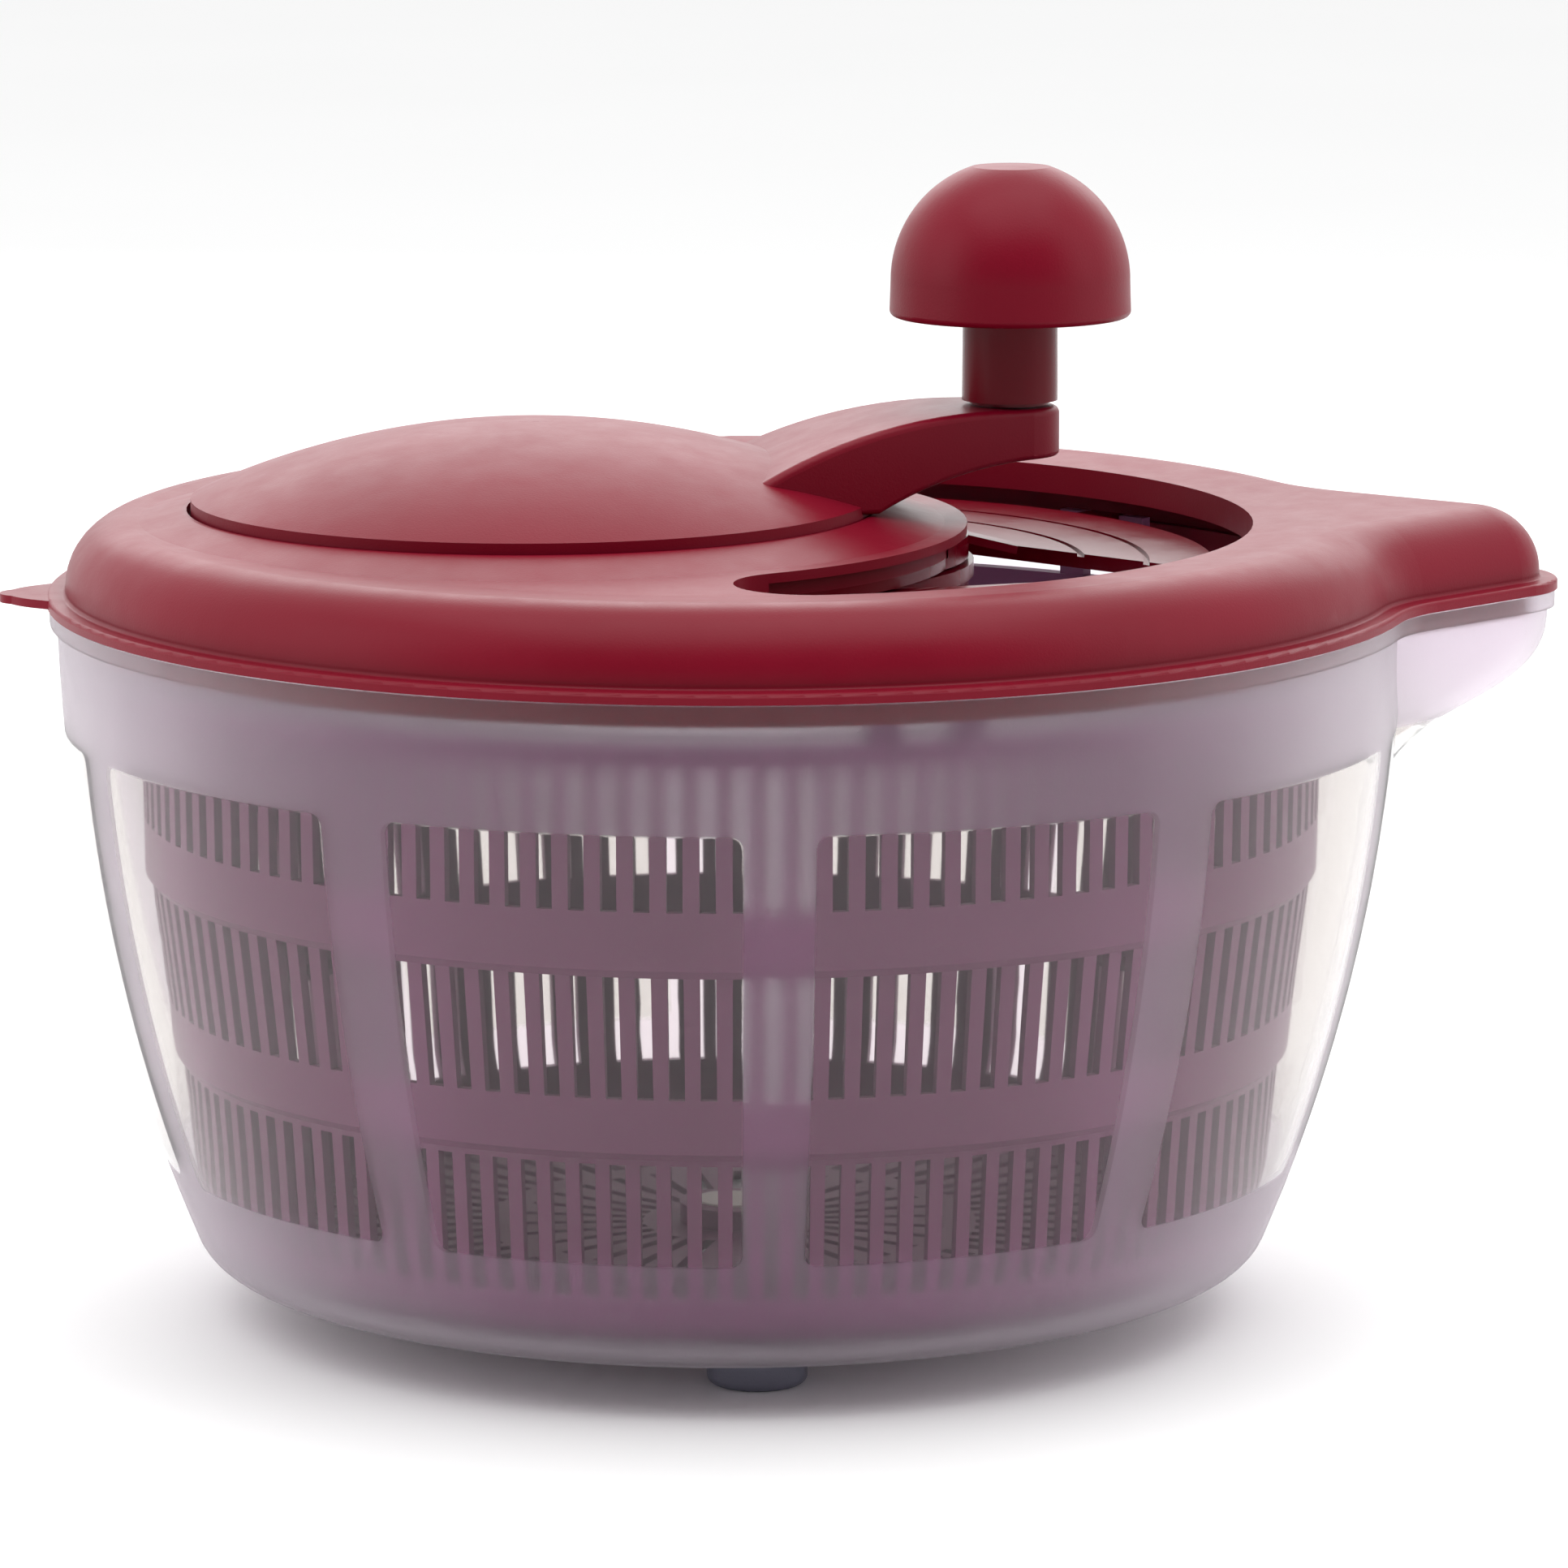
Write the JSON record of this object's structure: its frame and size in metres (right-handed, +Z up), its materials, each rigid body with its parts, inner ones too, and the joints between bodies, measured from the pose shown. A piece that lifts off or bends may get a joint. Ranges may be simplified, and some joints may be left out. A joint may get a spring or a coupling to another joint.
{
  "type": "salad spinner",
  "caption": "Crank salad spinner: translucent bowl with pouring spout and rubber feet, slotted inner basket, and a lid with a fill opening, geared crank disc, arm and mushroom knob.",
  "frame": {"origin": "on the table, in the plane of the feet, under the middle of the object's length and width; the bowl's axis stands at x = -10 mm", "axes": "+Z up, +X from the bowl's axis to the pouring spout"},
  "size_m": [0.2958, 0.258, 0.2166],
  "materials": {
    "red_satin": "satin",
    "red_gloss": "gloss",
    "frosted_clear": "frosted with clear polished windows",
    "mauve": "satin translucent",
    "grey_rubber": "matte",
    "steel": "satin",
    "white_bearing": "satin"
  },
  "bodies": {
    "bowl": {"bowl": "frosted_clear", "foot_front": "grey_rubber", "foot_right": "grey_rubber", "foot_back": "grey_rubber", "foot_left": "grey_rubber", "pivot_pin": "steel"},
    "lid": {"lid_shell": "red_satin", "gear_case_cover": "red_gloss", "case_screws": "steel", "crank_bush": "white_bearing", "shaft_bush": "white_bearing"},
    "crank": {"crank_dome": "red_satin", "ring_gear": "white_bearing", "ring_gear_screws": "steel", "crank_washer": "steel", "crank_screw": "steel", "knob_axle": "steel", "axle_clip": "steel"},
    "knob": {"knob_cap": "red_satin", "knob_stem": "red_gloss", "knob_plug": "red_satin"},
    "rotor": {"drive_carrier": "red_gloss", "drive_shaft": "steel", "pinion_gear": "white_bearing", "shaft_clip": "steel"},
    "basket": {"basket": "mauve", "basket_bearing": "white_bearing"}
  },
  "joints": [
    {"name": "lid_lift", "type": "slide", "parent": "bowl", "child": "lid", "axis": [0, 0, 1], "range_m": [0, 0.16]},
    {"name": "crank_spin", "type": "hinge", "parent": "lid", "child": "crank", "pos_m": [-0.0475, 0, 0.153], "axis": [0, 0, 1], "continuous": true},
    {"name": "knob_spin", "type": "hinge", "parent": "crank", "child": "knob", "pos_m": [0.0429, 0, 0.172], "axis": [0, 0, 1], "continuous": true},
    {"name": "rotor_spin", "type": "hinge", "parent": "lid", "child": "rotor", "pos_m": [-0.01, 0, 0.143], "axis": [0, 0, 1], "continuous": true},
    {"name": "basket_spin", "type": "hinge", "parent": "bowl", "child": "basket", "pos_m": [-0.01, 0, 0.0124], "axis": [0, 0, 1], "continuous": true}
  ],
  "couplings": [
    {"joint": "rotor_spin", "follows": "crank_spin", "ratio": 4},
    {"joint": "basket_spin", "follows": "crank_spin", "ratio": 4}
  ]
}
